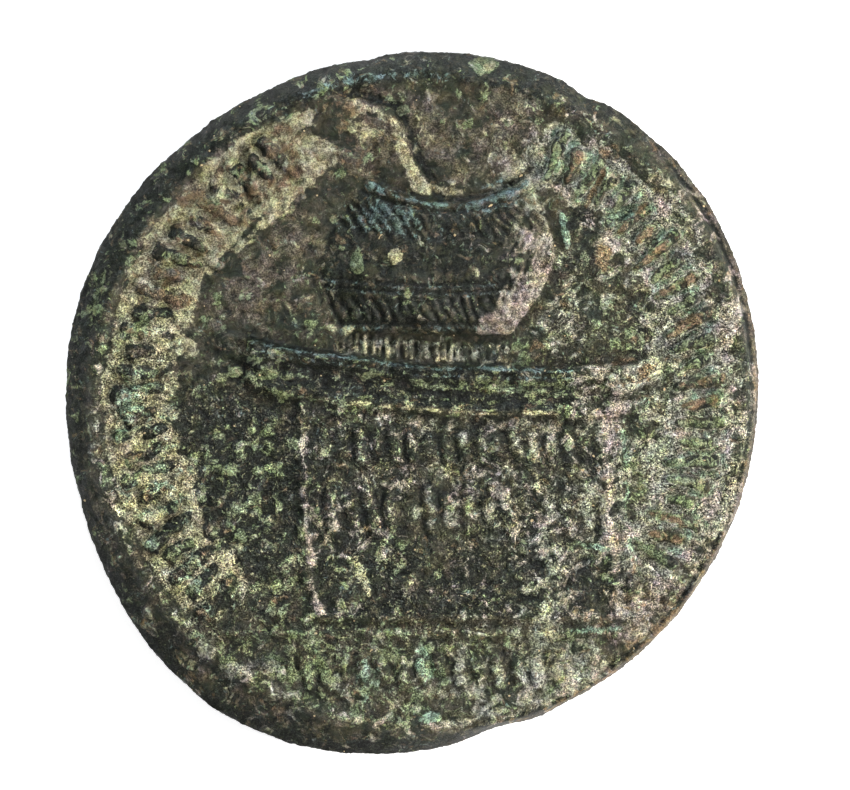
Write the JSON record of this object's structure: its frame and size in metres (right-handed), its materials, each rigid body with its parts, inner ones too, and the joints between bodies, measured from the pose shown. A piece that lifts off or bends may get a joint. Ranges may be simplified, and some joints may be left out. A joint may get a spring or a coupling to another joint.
{
  "type": "ancient struck coin",
  "caption": "Worn, irregular round bronze coin with a patina, a raised altar, barrel-shaped prize crown and plume inside arcs of shallow strokes.",
  "frame": {"origin": "middle of the coin's bounding box in X and Y, on the flat land of the back that it lies on", "axes": "+Z out of the face that shows, +Y towards the top of its design (from the altar's foot to the crown), +X to its right"},
  "size_m": [0.0278, 0.0282, 0.003],
  "materials": {
    "patinated_bronze": "matt olive, brown and near-black patina with sandy and green deposits"
  },
  "bodies": {
    "root": {"coin": "patinated_bronze"}
  },
  "joints": []
}
